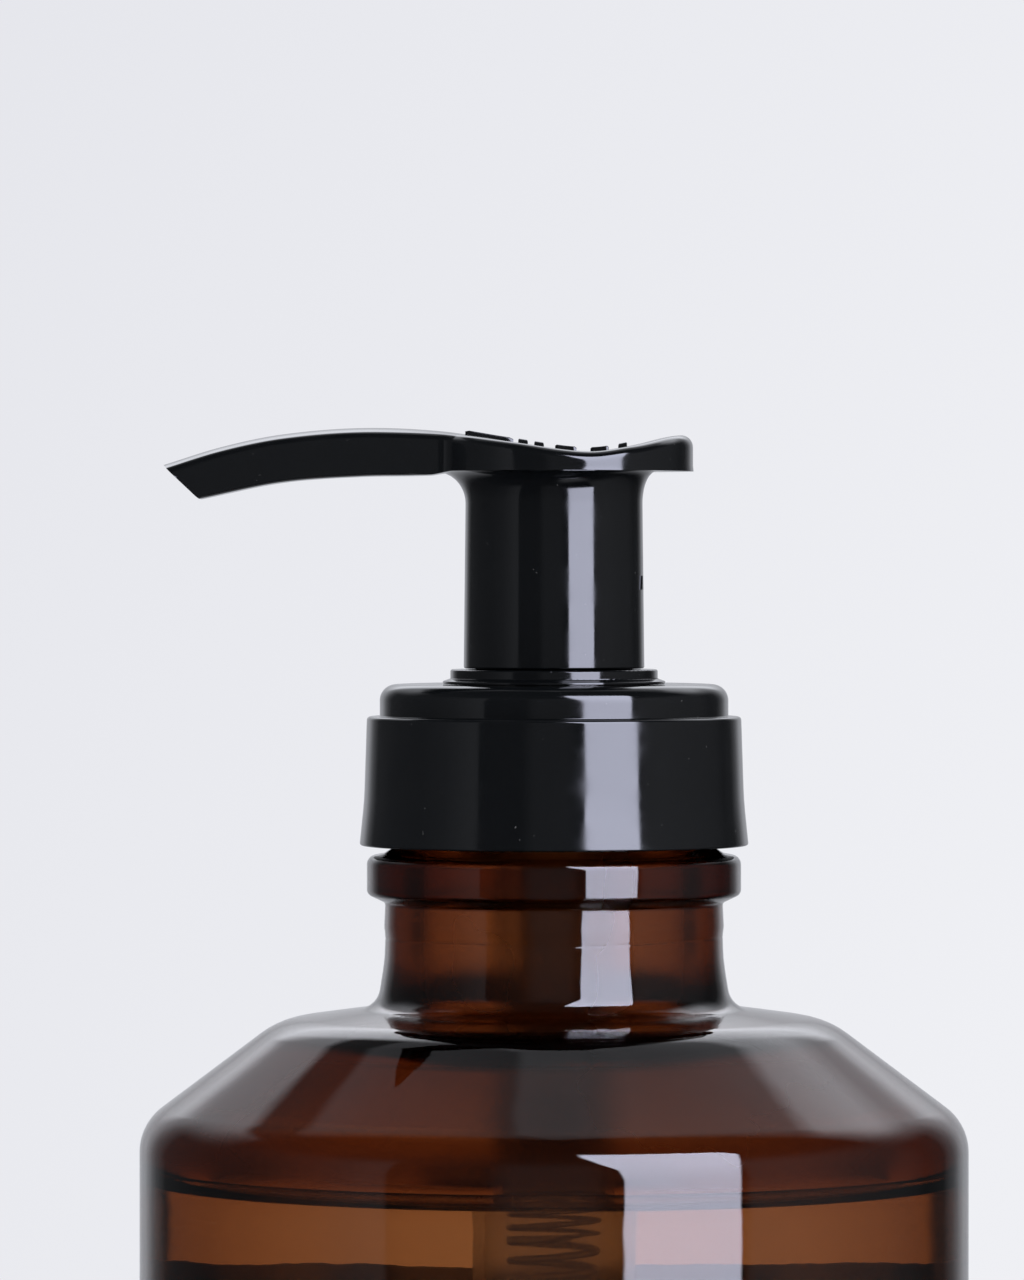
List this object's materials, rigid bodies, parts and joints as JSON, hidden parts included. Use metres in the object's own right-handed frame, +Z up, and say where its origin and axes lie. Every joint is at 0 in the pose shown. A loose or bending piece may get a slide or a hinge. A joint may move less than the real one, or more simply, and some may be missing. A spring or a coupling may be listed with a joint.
{
  "type": "soap pump dispenser",
  "caption": "Round amber glass bottle with a screw-on lotion pump: spouted push head with a lock-down collar, spring, piston and dip tube inside.",
  "frame": {"origin": "centre of the bottle's base, on the surface it stands on", "axes": "+Z up along the common axis of the bottle and the pump, the spout points along -X, the label is on the +Y side"},
  "size_m": [0.0775, 0.0776, 0.2031],
  "materials": {
    "amber_glass": "clear amber container glass, smooth, slightly wavy",
    "label_stock": "matt uncoated label stock, blank",
    "black_closure": "moulded black polypropylene, glossy",
    "foam_gasket": "foamed polyethylene sealing ring",
    "natural_plastic": "natural translucent polypropylene",
    "black_collar": "moulded black polypropylene, glossy",
    "tube_plastic": "natural translucent polyethylene tube",
    "ball_steel": "polished stainless steel",
    "spring_steel": "drawn stainless spring wire",
    "piston_plastic": "soft white polyethylene",
    "stem_plastic": "natural polypropylene",
    "rod_plastic": "natural polypropylene",
    "black_head": "moulded black polypropylene, glossy"
  },
  "bodies": {
    "bottle_body": {"bottle": "amber_glass", "rear_label": "label_stock"},
    "pump_body": {"housing": "natural_plastic", "locking_collar": "black_collar", "neck_gasket": "foam_gasket", "dip_tube": "tube_plastic"},
    "closure_body": {"closure": "black_closure"},
    "spring_body": {"return_spring": "spring_steel"},
    "head_body": {"pump_head": "black_head", "stem": "stem_plastic", "piston_rod": "rod_plastic"},
    "piston_body": {"piston": "piston_plastic"},
    "ball_body": {"check_ball": "ball_steel"}
  },
  "joints": [
    {"name": "thread_rise", "type": "slide", "parent": "bottle_body", "child": "pump_body", "axis": [0, 0, 1], "range_m": [0, 0.00741]},
    {"name": "closure_turn", "type": "hinge", "parent": "pump_body", "child": "closure_body", "pos_m": [0, 0, 0.17], "axis": [0, 0, 1], "range_deg": [0, 630]},
    {"name": "head_stroke", "type": "slide", "parent": "pump_body", "child": "spring_body", "axis": [0, 0, 1], "range_m": [0, 0.016], "deforming": ["return_spring"]},
    {"name": "head_twist", "type": "hinge", "parent": "spring_body", "child": "head_body", "pos_m": [0, 0, 0.18], "axis": [0, 0, 1], "range_deg": [0, 90]},
    {"name": "piston_slip", "type": "slide", "parent": "spring_body", "child": "piston_body", "axis": [0, 0, 1], "range_m": [0, 0.001]},
    {"name": "ball_lift", "type": "slide", "parent": "pump_body", "child": "ball_body", "axis": [0, 0, 1], "range_m": [0, 0.0015]}
  ],
  "couplings": [
    {"joint": "thread_rise", "follows": "closure_turn", "m_per_rad": 0.00067376}
  ]
}
